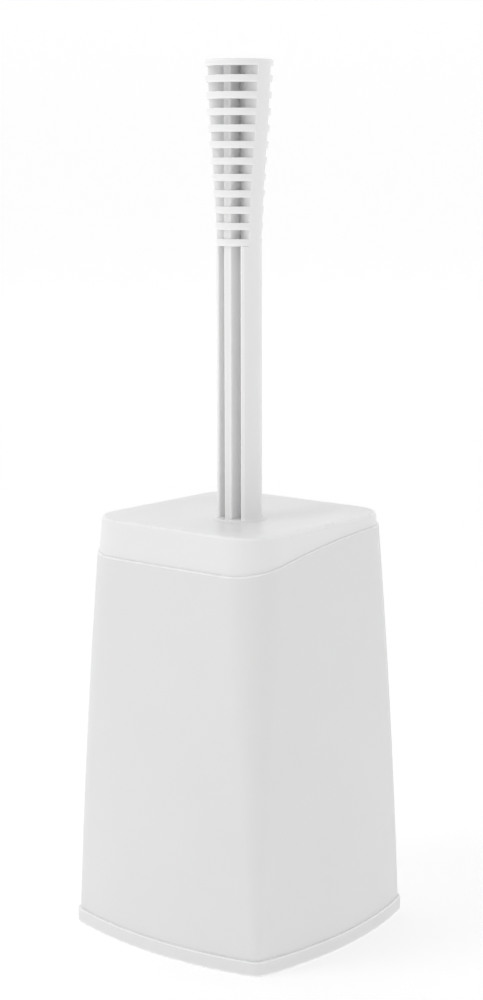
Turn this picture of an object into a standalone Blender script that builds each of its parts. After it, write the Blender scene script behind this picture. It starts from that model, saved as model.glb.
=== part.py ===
"""A toilet brush that stands in a tapered square holder and carries the holder's lid on its handle.

The holder is a shell that is wider at its foot, a base pan that closes it from below, and a drip cup.
The brush is a handle with a finned grip, a lid, a turned core with a neck, and rows of bristle tufts.
Sizes are in metres. The origin is on the floor under the middle, +Z is up and the front faces -Y.
"""

import math

import bmesh
import bpy
from mathutils import Vector

# Clearances
FIT = 0.0003  # between two pieces that touch
SLIDE_FIT = 0.0004  # between the lid's lip and the wall it drops into
CUP_PLAY = 0.0010  # around the cup's foot in its seat

# Foot of the holder
FOOT_SPREAD = 0.0212  # how much wider the foot band is than the mouth
BASE_BOW = 0.0077  # how far each side bows out from corner to corner
BASE_CORNER = 0.0055
BAND_HEIGHT = 0.0066
BAND_LEDGE = 0.0008  # how far the band stands proud of the shell
PAN_FLOOR = 0.0025
PAN_WALL = 0.0018
PAN_UPSTAND = 0.0150  # the wall that the shell slides over, above the band
EDGE_ROUND = 0.0008

# Shell
MOUTH_WIDTH = 0.0988  # across the sides at the front of the mouth
MOUTH_BOW = 0.0004
MOUTH_CORNER = 0.0175
CORNER_SWELL = 0.0009  # how much rounder the corners are halfway up than a straight line makes them
SHELL_HEIGHT = 0.1685  # front of the mouth, above the floor
MOUTH_RISE = 0.0115  # how much higher the back of the mouth is
MOUTH_CROWN = 0.0025  # how far the rising edge arches over a straight line
SHELL_WALL = 0.0020

# Lid
LID_BACK_HEIGHT = 0.0045  # from the highest part of the mouth to the lid's top
LID_STEP = 0.0007  # how far the skirt stands back from the shell
LID_WALL = 0.0020
LID_EDGE_ROUND = 0.0012
DISH_MARGIN = 0.0018  # flat left between the dish and the edge's round
DISH_DEPTH = 0.0025
DISH_FLAT = 0.0020  # level ring round the shaft's foot in the middle of the dish
LIP_DEPTH = 0.0050
LIP_WALL = 0.0016

# Drip cup
CUP_SPACE = 0.0082  # between the bristles and the cup's foot
CUP_DRAFT = 0.0016  # how much wider the cup is at its rim
CUP_HEIGHT = 0.0720
CUP_WALL = 0.0015
CUP_SEAT_HEIGHT = 0.0020
CUP_SEAT_WALL = 0.0016
CUP_LIP = 0.0022  # height of the rim that is turned out along the top

# Handle
SHAFT_RADIUS = 0.0098
SHAFT_LENGTH = 0.1187
FOOT_FLARE = 0.0024  # radius of the hollow that widens the shaft's foot
FOOT_PLATE = 0.0008  # left under the shaft's grooves
WEB_HALF = 0.0015  # from the handle's middle plane to the floor beside the rib
RECESS_EDGE = 0.0041  # from the middle plane to where a recess runs out on the grip's side
SCOOP_REACH = 0.0085  # how far out a recess's floor rises before it is flat
CHEEK_FRONT = 0.0065  # front edge of the shaft's round cheeks
CHEEK_WALL = 0.0014
RIB_WIDTH = 0.0038
RIB_FRONT = 0.0081
RECESSES = 11
RECESS_HEIGHT = 0.00378
FIN_HEIGHT = 0.00307
CAP_HEIGHT = 0.0028
GRIP_TOP_RADIUS = 0.0147
GRIP_SWELL = 0.05  # share of the flare that turns its straight side into a gentle S
KEY_LEDGE = 0.0016  # how far the foot reaches over the corners of the lid's key
KEY_CORNER = 0.0020

# Brush head
STUD_RADIUS = 0.0035
STUD_LENGTH = 0.0150
FLANGE_STAND = 0.0008  # how much wider the neck's flange is than the handle's foot
FLANGE_HEIGHT = 0.0025
NECK_RADIUS = 0.0065
CORE_RADIUS = 0.0120
SHOULDER = 0.0070
HEAD_CLEARANCE = 0.0060  # from the lowest bristles to the floor of the cup
END_TUFT_LENGTH = 0.0120
END_TUFT_RADIUS = 0.0240
TUFT_ROWS = 10
TUFT_PITCH = 0.0078
TUFT_HEIGHT = 0.0045
TUFTS_IN_ROW = 12
TUFT_HUB = 0.0015  # thickness of the ring that gathers a row's tufts
BRUSH_PLAY = 0.0094  # between the bristles and the inside of the mouth

# Places that follow from the sizes
SIDE_STEPS = 6
CORNER_STEPS = 4
SCOOP_STEPS = 4
TURNED_STEPS = 40
BASE_WIDTH = MOUTH_WIDTH + FOOT_SPREAD
BRUSH_RADIUS = MOUTH_WIDTH / 2 - SHELL_WALL - BRUSH_PLAY
CUP_FOOT_RADIUS = BRUSH_RADIUS + CUP_SPACE
CUP_RIM_RADIUS = CUP_FOOT_RADIUS + CUP_DRAFT
FOOT_RADIUS = SHAFT_RADIUS + FOOT_FLARE
FLANGE_RADIUS = FOOT_RADIUS + FLANGE_STAND
KEY_WIDTH = math.sqrt(2) * (FOOT_RADIUS - KEY_LEDGE)  # square key that stops the lid turning
LID_TOP = SHELL_HEIGHT + FIT + MOUTH_RISE + LID_BACK_HEIGHT
DISH_FLOOR = LID_TOP - DISH_DEPTH
LID_UNDER = DISH_FLOOR - LID_WALL
FOOT_Z = DISH_FLOOR + FIT
SHAFT_TOP = FOOT_Z + SHAFT_LENGTH
FIN_PITCH = RECESS_HEIGHT + FIN_HEIGHT
GRIP_LENGTH = CAP_HEIGHT + RECESSES * FIN_PITCH
HANDLE_TOP = SHAFT_TOP + GRIP_LENGTH
HOLE_WIDTH = KEY_WIDTH + 2 * FIT
HOLE_CORNER = KEY_CORNER + FIT
CUP_FLOOR = PAN_FLOOR + FIT + CUP_WALL
HEAD_LOW = CUP_FLOOR + HEAD_CLEARANCE
CORE_LOW = HEAD_LOW + END_TUFT_LENGTH + FIT
CORE_TOP = CORE_LOW + TUFT_ROWS * TUFT_PITCH
KEY_LOW = LID_UNDER + FIT
STUD_LOW = KEY_LOW - STUD_LENGTH


def new_collection(name):
    collection = bpy.data.collections.new(name)
    bpy.context.scene.collection.children.link(collection)
    return collection


def plastic(name, colour, roughness):
    material = bpy.data.materials.new(name)
    material.use_nodes = True
    shader = material.node_tree.nodes["Principled BSDF"]
    shader.inputs["Base Color"].default_value = (*colour, 1.0)
    shader.inputs["Roughness"].default_value = roughness
    shader.inputs["Metallic"].default_value = 0.0
    return material


def add_object(name, mesh, collection, material=None):
    obj = bpy.data.objects.new(name, mesh)
    collection.objects.link(obj)
    if material:
        mesh.materials.append(material)
    mesh.shade_smooth()
    mesh.set_sharp_from_angle(angle=math.radians(35))
    return obj


def as_cutter(obj):
    obj.hide_render = True
    obj.display_type = "WIRE"
    return obj


# Outlines


def arc(centre, radius, start, end, steps):
    """Points along an arc, both ends included, as (x, y) pairs."""
    points = []
    for i in range(steps + 1):
        angle = start + (end - start) * i / steps
        points.append((centre[0] + radius * math.cos(angle), centre[1] + radius * math.sin(angle)))
    return points


def bowed_square(width, bow, corner):
    """A square outline whose four sides are shallow arcs, with round corners tangent to them."""
    bow = max(bow, 1e-5)
    half_chord = width / 2 - bow
    side_radius = (half_chord**2 + bow**2) / (2 * bow)
    side_centre = width / 2 - side_radius
    reach = side_radius - corner
    corner_centre = (side_centre + math.sqrt(2 * reach**2 - side_centre**2)) / 2
    turn = math.atan2(corner_centre, corner_centre - side_centre)
    side = arc((side_centre, 0.0), side_radius, -turn, turn, SIDE_STEPS)
    bend = arc((corner_centre, corner_centre), corner, turn, math.pi / 2 - turn, CORNER_STEPS)
    quarter = side + bend[1:-1]
    points = []
    for i in range(4):
        cosine, sine = round(math.cos(i * math.pi / 2)), round(math.sin(i * math.pi / 2))
        points += [(cosine * x - sine * y, sine * x + cosine * y) for x, y in quarter]
    return points


def level(points, height):
    return [Vector((x, y, height)) for x, y in points]


def round_ring(radius, height, like):
    """A round ring with its points in the same directions as those of another ring."""
    return [Vector((p.x, p.y, 0.0)).normalized() * radius + Vector((0, 0, height)) for p in like]


def shell_section(height, inset=0.0):
    """The shell's outline at a height, moved inward by inset. It carries on above the mouth as the lid."""
    share = (height - BAND_HEIGHT) / (SHELL_HEIGHT - BAND_HEIGHT)
    foot_width = BASE_WIDTH - 2 * BAND_LEDGE
    width = foot_width + (MOUTH_WIDTH - foot_width) * share
    bow = max(BASE_BOW + (MOUTH_BOW - BASE_BOW) * share, 0.0)
    corner = BASE_CORNER + (MOUTH_CORNER - BASE_CORNER) * share + 4 * CORNER_SWELL * share * (1 - share)
    return level(bowed_square(width - 2 * inset, bow, max(corner - inset, EDGE_ROUND)), height)


def mouth_height(y):
    """Height of the shell's mouth, which is level along the front and sweeps up toward the back."""
    share = y / MOUTH_WIDTH + 0.5
    return SHELL_HEIGHT + MOUTH_RISE * share + 4 * MOUTH_CROWN * share * (1 - share)


def swept_ring(height, inset=0.0):
    """The shell's outline where it meets the surface z = height(y)."""
    ring = shell_section(SHELL_HEIGHT, inset)
    for _ in range(4):
        ring = [shell_section(height(point.y), inset)[i] for i, point in enumerate(ring)]
    return ring


# Bodies


def loft(name, rings, collection, material, closed=False):
    """A body through rings of equal count. A closed one joins its last ring to its first."""
    shape = bmesh.new()
    loops = [[shape.verts.new(point) for point in ring] for ring in rings]
    pairs = list(zip(loops, loops[1:]))
    if closed:
        pairs.append((loops[-1], loops[0]))
    else:
        shape.faces.new(loops[0])
        shape.faces.new(loops[-1])
    for near, far in pairs:
        for i, corner in enumerate(near):
            j = (i + 1) % len(near)
            shape.faces.new((corner, near[j], far[j], far[i]))
    bmesh.ops.recalc_face_normals(shape, faces=shape.faces)
    mesh = bpy.data.meshes.new(name)
    shape.to_mesh(mesh)
    shape.free()
    return add_object(name, mesh, collection, material)


def turned(name, profile, collection, material=None):
    """A body turned about Z from a profile of (radius, height) that runs down its outer side."""
    mesh = bpy.data.meshes.new(name)
    points = [(radius, 0.0, height) for radius, height in profile]
    mesh.from_pydata(points, [(i, i + 1) for i in range(len(points) - 1)], [])
    obj = bpy.data.objects.new(name, mesh)
    collection.objects.link(obj)
    if material:
        mesh.materials.append(material)
    screw = obj.modifiers.new("turn", "SCREW")
    screw.axis = "Z"
    screw.steps = TURNED_STEPS
    screw.render_steps = TURNED_STEPS
    screw.use_smooth_shade = True
    screw.use_merge_vertices = True
    screw.merge_threshold = 0.00002
    return obj


def flat_piece(name, outlines, low, high, collection, material=None):
    """A flat outline, with any holes, between two heights."""
    curve = bpy.data.curves.new(name, "CURVE")
    curve.dimensions = "2D"
    curve.fill_mode = "BOTH"
    curve.extrude = (high - low) / 2
    for outline in outlines:
        spline = curve.splines.new("POLY")
        spline.points.add(len(outline) - 1)
        spline.use_cyclic_u = True
        for point, (x, y) in zip(spline.points, outline):
            point.co = (x, y, 0.0, 1.0)
    guide = bpy.data.objects.new(name + "_outline", curve)
    guide.location.z = (low + high) / 2
    collection.objects.link(guide)
    bpy.context.view_layer.update()
    mesh = bpy.data.meshes.new_from_object(guide.evaluated_get(bpy.context.evaluated_depsgraph_get()))
    shape = bmesh.new()
    shape.from_mesh(mesh)
    bmesh.ops.remove_doubles(shape, verts=shape.verts, dist=0.00001)
    bmesh.ops.recalc_face_normals(shape, faces=shape.faces)
    shape.to_mesh(mesh)
    shape.free()
    obj = add_object(name, mesh, collection, material)
    obj.matrix_world = guide.matrix_world
    bpy.data.objects.remove(guide)
    return obj


def cut(target, tool, operation="DIFFERENCE"):
    boolean = target.modifiers.new(tool.name, "BOOLEAN")
    boolean.operation = operation
    boolean.solver = "EXACT"
    boolean.object = tool


# Holder


def make_shell(parts, white):
    foot = BAND_HEIGHT + FIT
    storeys = 8
    rings = [shell_section(foot, SHELL_WALL), shell_section(foot, 0.0)]
    for i in range(1, storeys):
        share = i / storeys
        rings.append(swept_ring(lambda y: foot + share * (mouth_height(y) - EDGE_ROUND - foot)))
    for turn in (0.0, 0.25 * math.pi, 0.5 * math.pi):
        inset = EDGE_ROUND * (1 - math.cos(turn))
        drop = EDGE_ROUND * (1 - math.sin(turn))
        rings.append(swept_ring(lambda y: mouth_height(y) - drop, inset))
    rings.append(swept_ring(mouth_height, SHELL_WALL))
    for i in range(storeys // 2 - 1, 0, -1):
        share = 2 * i / storeys
        rings.append(swept_ring(lambda y: foot + share * (mouth_height(y) - foot), SHELL_WALL))
    return loft("container_shell", rings, parts, white, closed=True)


def make_base_pan(parts, white):
    band = bowed_square(BASE_WIDTH, BASE_BOW, BASE_CORNER)
    trimmed = bowed_square(BASE_WIDTH - 2 * EDGE_ROUND, BASE_BOW, BASE_CORNER - EDGE_ROUND)
    upstand_inset = SHELL_WALL + FIT
    upstand_top = BAND_HEIGHT + PAN_UPSTAND
    wall_inset = upstand_inset + PAN_WALL
    seat_inner = CUP_FOOT_RADIUS + CUP_PLAY
    rings = [
        level(trimmed, 0.0),
        level(band, EDGE_ROUND),
        level(band, BAND_HEIGHT - EDGE_ROUND / 2),
        level(trimmed, BAND_HEIGHT),
        shell_section(BAND_HEIGHT, upstand_inset),
        shell_section(upstand_top, upstand_inset),
        shell_section(upstand_top, wall_inset),
    ]
    foot = shell_section(BAND_HEIGHT, wall_inset)
    rings.append([Vector((p.x, p.y, PAN_FLOOR + EDGE_ROUND)) for p in foot])
    inner = shell_section(BAND_HEIGHT, wall_inset + EDGE_ROUND)
    rings.append([Vector((p.x, p.y, PAN_FLOOR)) for p in inner])
    seat = PAN_FLOOR + CUP_SEAT_HEIGHT
    rings.append(round_ring(seat_inner + CUP_SEAT_WALL, PAN_FLOOR, inner))
    rings.append(round_ring(seat_inner + CUP_SEAT_WALL, seat, inner))
    rings.append(round_ring(seat_inner, seat, inner))
    rings.append(round_ring(seat_inner, PAN_FLOOR, inner))
    return loft("base_pan", rings, parts, white)


def make_drip_cup(parts, grey):
    low = PAN_FLOOR + FIT
    rim = low + CUP_HEIGHT
    profile = [
        (0.0, CUP_FLOOR),
        (CUP_FOOT_RADIUS - CUP_WALL - 2 * EDGE_ROUND, CUP_FLOOR),
        (CUP_FOOT_RADIUS - CUP_WALL, CUP_FLOOR + 2 * EDGE_ROUND),
        (CUP_RIM_RADIUS - CUP_WALL, rim),
        (CUP_RIM_RADIUS + CUP_LIP / 2, rim),
        (CUP_RIM_RADIUS + CUP_LIP / 2, rim - CUP_LIP),
        (CUP_RIM_RADIUS, rim - CUP_LIP),
        (CUP_FOOT_RADIUS, low + 2 * EDGE_ROUND),
        (CUP_FOOT_RADIUS - 2 * EDGE_ROUND, low),
        (0.0, low),
    ]
    return turned("drip_cup", profile, parts, grey)


# Lid


def dish_rings(drop, like):
    """Rings of the shallow round dish from its flat middle out to its edge, lowered by drop."""
    middle = FOOT_RADIUS + DISH_FLAT
    edge = shell_section(LID_TOP)[0].x - LID_STEP - LID_EDGE_ROUND - DISH_MARGIN
    rings = []
    for share in (0.0, 0.3, 0.55, 0.8, 1.0):
        radius = middle + (edge - middle) * share
        rings.append(round_ring(radius, DISH_FLOOR + DISH_DEPTH * share**2 - drop, like))
    return rings


def make_lid(parts, white):
    flat = shell_section(LID_TOP, LID_STEP + LID_EDGE_ROUND)
    hole = bowed_square(HOLE_WIDTH, 0.0, HOLE_CORNER)
    rings = [level(hole, DISH_FLOOR)]
    rings += dish_rings(0.0, flat)
    for turn in range(4):
        angle = turn * math.pi / 6
        inset = LID_STEP + LID_EDGE_ROUND * (1 - math.sin(angle))
        rings.append(shell_section(LID_TOP - LID_EDGE_ROUND * (1 - math.cos(angle)), inset))
    seat = swept_ring(lambda y: mouth_height(y) + FIT, LID_STEP)
    lip = swept_ring(lambda y: mouth_height(y) + FIT, SHELL_WALL + SLIDE_FIT)
    lip_inner = swept_ring(lambda y: mouth_height(y) + FIT, SHELL_WALL + SLIDE_FIT + LIP_WALL)
    drop = Vector((0, 0, LIP_DEPTH + FIT))
    rings += [seat, lip, [p - drop for p in lip], [p - drop for p in lip_inner]]
    rings.append([Vector((p.x, p.y, LID_TOP - LID_WALL)) for p in lip_inner])
    rings += reversed(dish_rings(LID_WALL, flat))
    rings.append(level(hole, LID_UNDER))
    return loft("lid", rings, parts, white, closed=True)


# Handle


def fin_radius(height):
    """Radius of the flaring grip's fins at a height."""
    share = (height - SHAFT_TOP) / GRIP_LENGTH
    share -= GRIP_SWELL * math.sin(2 * math.pi * share)
    return SHAFT_RADIUS + (GRIP_TOP_RADIUS - SHAFT_RADIUS) * share


def handle_profile():
    edge = EDGE_ROUND
    top = HANDLE_TOP
    points = [(0.0, top), (fin_radius(top) - edge, top), (fin_radius(top), top - edge)]
    for i in range(RECESSES):
        height = top - CAP_HEIGHT - (i + 1) * FIN_PITCH + FIN_HEIGHT / 2
        points.append((fin_radius(height), height))
    points.append((SHAFT_RADIUS, SHAFT_TOP))
    for across, up in arc((FOOT_FLARE, FOOT_FLARE), FOOT_FLARE, math.pi, 1.5 * math.pi, 3):
        points.append((SHAFT_RADIUS + across, FOOT_Z + max(up, FOOT_PLATE / 2)))
    points += [(FOOT_RADIUS, FOOT_Z), (0.0, FOOT_Z)]
    return points


def channel_outline(floor):
    """What is cut from the front of the handle: two channels that leave a rib standing between them.

    The floor is given from beside the rib to the right. The left side is its mirror image.
    """
    far = 2 * GRIP_TOP_RADIUS
    rib = RIB_WIDTH / 2
    right = [(rib, -RIB_FRONT), (rib, -WEB_HALF)] + floor + [(far, floor[-1][1]), (far, -far)]
    return right + [(-x, y) for x, y in reversed(right)]


def scooped_floor():
    """A recess's floor, which rises in a hollow curve from the web to the level where it runs out."""
    start = RIB_WIDTH / 2
    points = []
    for i in range(1, SCOOP_STEPS + 1):
        share = i / SCOOP_STEPS
        depth = WEB_HALF + (RECESS_EDGE - WEB_HALF) * math.sin(0.5 * math.pi * share)
        points.append((start + (SCOOP_REACH - start) * share, -depth))
    return points


def make_handle(parts, cutters, white):
    handle = turned("handle", handle_profile(), parts, white)
    cheek_inner = math.sqrt(SHAFT_RADIUS**2 - CHEEK_FRONT**2) - CHEEK_WALL
    groove = channel_outline([(cheek_inner, -WEB_HALF), (cheek_inner, -CHEEK_FRONT)])
    recess = channel_outline(scooped_floor())
    low = FOOT_Z + FOOT_PLATE
    top_recess = HANDLE_TOP - CAP_HEIGHT
    grooves = as_cutter(flat_piece("shaft_grooves", [groove], low, SHAFT_TOP, cutters))
    recesses = flat_piece("grip_recesses", [recess], top_recess - RECESS_HEIGHT, top_recess, cutters)
    as_cutter(recesses)
    column = recesses.modifiers.new("column", "ARRAY")
    column.count = RECESSES
    column.use_relative_offset = False
    column.use_constant_offset = True
    column.constant_offset_displace = (0.0, 0.0, -FIN_PITCH)
    for tool in (grooves, recesses):
        both = tool.modifiers.new("front and back", "MIRROR")
        both.use_axis = (False, True, False)
        both.use_mirror_merge = False
        both.merge_threshold = 0.0001
        cut(handle, tool)
    key = bowed_square(KEY_WIDTH, 0.0, KEY_CORNER)
    stud = arc((0.0, 0.0), STUD_RADIUS, 0.0, 2 * math.pi, 24)[:-1]
    tongue = as_cutter(flat_piece("lid_key", [key], KEY_LOW, FOOT_Z + FIT, cutters))
    root = as_cutter(flat_piece("neck_stud", [stud], STUD_LOW, KEY_LOW + FIT, cutters))
    cut(handle, tongue, "UNION")
    cut(handle, root, "UNION")
    return handle


# Brush head


def make_core(parts, white):
    flange = LID_UNDER - FIT
    socket = STUD_RADIUS + FIT
    fillet = (FLANGE_RADIUS - NECK_RADIUS) / 2
    profile = [
        (0.0, STUD_LOW - FIT),
        (socket, STUD_LOW - FIT),
        (socket, flange),
        (FLANGE_RADIUS, flange),
        (FLANGE_RADIUS, flange - FLANGE_HEIGHT),
        (NECK_RADIUS + fillet / 3, flange - FLANGE_HEIGHT - fillet / 3),
        (NECK_RADIUS, flange - FLANGE_HEIGHT - fillet),
        (NECK_RADIUS, CORE_TOP + SHOULDER),
        (CORE_RADIUS, CORE_TOP),
        (CORE_RADIUS, CORE_LOW + 2 * EDGE_ROUND),
        (CORE_RADIUS - 2 * EDGE_ROUND, CORE_LOW),
        (0.0, CORE_LOW),
    ]
    return turned("brush_core", profile, parts, white)


def star(reach, turn):
    """The plan of one row: tufts that fan out from a thin hub."""
    hub = CORE_RADIUS + FIT + TUFT_HUB
    root, tip = 0.20, 0.30  # half-widths as shares of the space between two tufts
    space = 2 * math.pi / TUFTS_IN_ROW
    points = []
    for i in range(TUFTS_IN_ROW):
        middle = i * space + turn
        for radius, share in ((hub, -root), (reach, -tip), (reach, tip), (hub, root)):
            angle = middle + share * space
            points.append((radius * math.cos(angle), radius * math.sin(angle)))
    return points


def make_tufts(parts, bristle):
    inner = arc((0.0, 0.0), CORE_RADIUS + FIT, 0.0, 2 * math.pi, 2 * TUFTS_IN_ROW)[:-1]
    for row in range(TUFT_ROWS):
        middle = CORE_LOW + (row + 0.5) * TUFT_PITCH
        turn = (row % 2) * math.pi / TUFTS_IN_ROW
        outline = star(BRUSH_RADIUS, turn)
        low = middle - TUFT_HEIGHT / 2
        name = f"tuft_row_{row + 1:02d}"
        flat_piece(name, [outline, inner], low, low + TUFT_HEIGHT, parts, bristle)
    top = CORE_LOW - FIT
    profile = [
        (0.0, top),
        (CORE_RADIUS - 2 * EDGE_ROUND, top),
        (END_TUFT_RADIUS, HEAD_LOW + 2 * EDGE_ROUND),
        (END_TUFT_RADIUS - 2 * EDGE_ROUND, HEAD_LOW),
        (0.0, HEAD_LOW),
    ]
    turned("tuft_end", profile, parts, bristle)


def main():
    for obj in list(bpy.data.objects):
        bpy.data.objects.remove(obj, do_unlink=True)
    parts = new_collection("toilet_brush_holder")
    cutters = new_collection("cutters")
    white = plastic("white_polypropylene", (0.80, 0.80, 0.79), 0.42)
    cup_grey = plastic("grey_polypropylene", (0.55, 0.56, 0.56), 0.45)
    bristle = plastic("white_bristle", (0.78, 0.79, 0.78), 0.35)
    make_shell(parts, white)
    make_base_pan(parts, white)
    make_drip_cup(parts, cup_grey)
    lift = bpy.data.objects.new("brush_lift", None)
    lift.location = (0.0, 0.0, SHELL_HEIGHT)
    parts.objects.link(lift)
    holder_names = {"container_shell", "base_pan", "drip_cup", lift.name}
    make_lid(parts, white)
    make_handle(parts, cutters, white)
    make_core(parts, white)
    make_tufts(parts, bristle)
    bpy.context.view_layer.update()
    for obj in parts.objects:
        if obj.name not in holder_names:
            obj.parent = lift
            obj.matrix_parent_inverse = lift.matrix_world.inverted()


main()
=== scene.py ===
# %% [markdown]
# # A toilet brush in its holder
# The real object is a brush with a lid on its handle, standing in a tapered square holder. All of it is
# injection-moulded polypropylene, apart from the bristles. This lesson rebuilds each piece round the fixed
# CAD frame, which gives the size and place of everything, and then gives each piece its real finish.

# %% Load the fixed frame
import math
import random

import bmesh
import bpy
from mathutils import Matrix, Vector


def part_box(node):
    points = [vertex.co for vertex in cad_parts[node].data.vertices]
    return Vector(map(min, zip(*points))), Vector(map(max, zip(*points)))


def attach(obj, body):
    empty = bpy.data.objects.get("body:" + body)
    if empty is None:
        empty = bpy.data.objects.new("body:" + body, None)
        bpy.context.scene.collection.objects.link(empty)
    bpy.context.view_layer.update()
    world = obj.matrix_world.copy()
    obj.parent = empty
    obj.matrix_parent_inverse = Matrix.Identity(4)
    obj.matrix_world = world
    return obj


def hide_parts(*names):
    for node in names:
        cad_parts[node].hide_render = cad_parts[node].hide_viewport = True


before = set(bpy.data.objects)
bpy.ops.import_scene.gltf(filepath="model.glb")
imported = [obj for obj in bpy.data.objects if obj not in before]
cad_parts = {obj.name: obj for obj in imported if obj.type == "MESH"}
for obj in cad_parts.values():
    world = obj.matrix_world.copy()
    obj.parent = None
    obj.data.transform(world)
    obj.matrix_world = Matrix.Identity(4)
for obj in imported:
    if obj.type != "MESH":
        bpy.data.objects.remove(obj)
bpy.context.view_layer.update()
MM = 0.001

# %% [markdown]
# ## Camera, paper and light
# A long lens from about a metre away, a little above the lid, sees the holder corner on. White paper lies
# under the holder and curves up into a wall behind it, so this camera sees no horizon. The light is a bright
# tent with one large lamp up on the left, as in a product studio: it leaves only a soft contact shadow and a
# gentle step between the two faces.

# %% Camera
AZIMUTH = math.radians(39.456)
PITCH = math.radians(9.667)
DISTANCE = 0.8886
CAMERA_HEIGHT = 0.3419
FOCAL_SHARE = 2.0577  # focal length as a share of the picture's long side
TURN = math.radians(39.404)
ROLL = math.radians(-0.10)


def make_camera():
    data = bpy.data.cameras.new("studio_camera")
    data.sensor_width = 36.0
    data.lens = FOCAL_SHARE * data.sensor_width
    camera = bpy.data.objects.new("studio_camera", data)
    bpy.context.scene.collection.objects.link(camera)
    camera.location = (DISTANCE * math.sin(AZIMUTH), -DISTANCE * math.cos(AZIMUTH), CAMERA_HEIGHT)
    look = Matrix.Rotation(TURN, 4, "Z") @ Matrix.Rotation(math.pi / 2 - PITCH, 4, "X")
    camera.rotation_euler = (look @ Matrix.Rotation(ROLL, 4, "Z")).to_euler()
    bpy.context.scene.camera = camera
    return camera


make_camera()
print("camera stands", round(DISTANCE, 3), "m from the handle's axis")

# %% [markdown]
# ## Small helpers for materials
# Colours are picked as sRGB hex values and turned to linear light once. One function adds a shader node
# with its settings and links.

# %% Colour and node helpers
def srgb(code):
    """A linear colour from an sRGB hex value such as "f0f0ee"."""
    shares = [int(code[i : i + 2], 16) / 255 for i in (0, 2, 4)]
    return tuple(c / 12.92 if c <= 0.04045 else ((c + 0.055) / 1.055) ** 2.4 for c in shares) + (1.0,)


def add_node(tree, kind, links=None, **settings):
    """Adds a node. links gives each input a value, or another node's output to read."""
    made = tree.nodes.new("ShaderNode" + kind)
    for name, value in settings.items():
        setattr(made, name, value)
    for name, value in (links or {}).items():
        if isinstance(value, bpy.types.NodeSocket):
            tree.links.new(value, made.inputs[name])
        else:
            made.inputs[name].default_value = value
    return made


def blend(tree, factor, low, high):
    """A colour between low and high. Each of the two is a colour or another node's output."""
    mix = add_node(tree, "Mix", {"Factor": factor}, data_type="RGBA")
    ends = [socket for socket in mix.inputs if socket.type == "RGBA"]
    for socket, end in zip(ends, (low, high)):
        if isinstance(end, bpy.types.NodeSocket):
            tree.links.new(end, socket)
        else:
            socket.default_value = end
    return next(socket for socket in mix.outputs if socket.type == "RGBA")


# %% Paper, tent and lamp
PAPER_GLOW = 0.275
PAPER_HALF_WIDTH = 60.0
PAPER_NEAR = -400.0  # metres along the camera's view, from the holder
PAPER_FAR = 3.0
COVE_RADIUS = 1.0
COVE_STEPS = 12
WALL_TOP = 5.0
TENT_STRENGTH = 0.72
LAMP_PLACE = (-0.4, -0.62, 0.86)
LAMP_TARGET = (0.0, 0.0, 0.18)
LAMP_SIZE = 0.5
LAMP_POWER = 1.3


def make_sweep():
    """White paper that lies flat under the holder and curves up into a wall behind it."""
    material = bpy.data.materials.new("white_paper_sweep")
    material.use_nodes = True
    shader = material.node_tree.nodes["Principled BSDF"]
    shader.inputs["Base Color"].default_value = srgb("f2f2f2")
    shader.inputs["Roughness"].default_value = 0.9
    shader.inputs["Emission Color"].default_value = (1.0, 1.0, 1.0, 1.0)
    shader.inputs["Emission Strength"].default_value = PAPER_GLOW
    shape = bmesh.new()
    edge = bmesh.ops.create_vert(shape, co=(-PAPER_HALF_WIDTH, PAPER_NEAR, 0.0))["vert"]
    edge += bmesh.ops.create_vert(shape, co=(PAPER_HALF_WIDTH, PAPER_NEAR, 0.0))["vert"]
    edges = bmesh.ops.contextual_create(shape, geom=edge)["edges"]
    turns = [0.5 * math.pi * i / COVE_STEPS for i in range(COVE_STEPS + 1)]
    run = [(PAPER_FAR + COVE_RADIUS * math.sin(t), COVE_RADIUS * (1 - math.cos(t))) for t in turns]
    run.append((PAPER_FAR + COVE_RADIUS, WALL_TOP))
    for along, height in run:
        grown = bmesh.ops.extrude_edge_only(shape, edges=edges)["geom"]
        for item in grown:
            if isinstance(item, bmesh.types.BMVert):
                item.co.y, item.co.z = along, height
        edges = [item for item in grown if isinstance(item, bmesh.types.BMEdge) and len(item.link_faces) == 1
                 and all(abs(v.co.y - along) < MM for v in item.verts)]
    bmesh.ops.rotate(shape, verts=shape.verts, cent=(0, 0, 0), matrix=Matrix.Rotation(AZIMUTH, 3, "Z"))
    bmesh.ops.recalc_face_normals(shape, faces=shape.faces)
    mesh = bpy.data.meshes.new("paper_sweep")
    shape.to_mesh(mesh)
    shape.free()
    mesh.materials.append(material)
    mesh.shade_smooth()
    sweep = bpy.data.objects.new("paper_sweep", mesh)
    bpy.context.scene.collection.objects.link(sweep)


def make_tent(strength):
    world = bpy.data.worlds.new("studio_tent")
    world.use_nodes = True
    background = world.node_tree.nodes["Background"]
    background.inputs["Color"].default_value = (1.0, 1.0, 1.0, 1.0)
    background.inputs["Strength"].default_value = strength
    bpy.context.scene.world = world


def make_lamp(name, place, target, size, power):
    data = bpy.data.lights.new(name, "AREA")
    data.shape = "DISK"
    data.size = size
    data.energy = power
    lamp = bpy.data.objects.new(name, data)
    bpy.context.scene.collection.objects.link(lamp)
    lamp.location = place
    lamp.rotation_euler = (Vector(place) - Vector(target)).to_track_quat("Z", "Y").to_euler()


make_sweep()
make_tent(TENT_STRENGTH)
make_lamp("key_lamp", LAMP_PLACE, LAMP_TARGET, LAMP_SIZE, LAMP_POWER)
bpy.context.scene.view_settings.view_transform = "Standard"
print("tent and key lamp are up")

# %% [markdown]
# ## Moulded polypropylene
# Polypropylene from a lightly spark-eroded mould has a fine matt grain, a broad faint ripple where it
# shrank, and a soft waxy depth because light goes a millimetre or so in. Each finish below is one
# function of the same recipe, with its own colour, sheen and grain.

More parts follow.
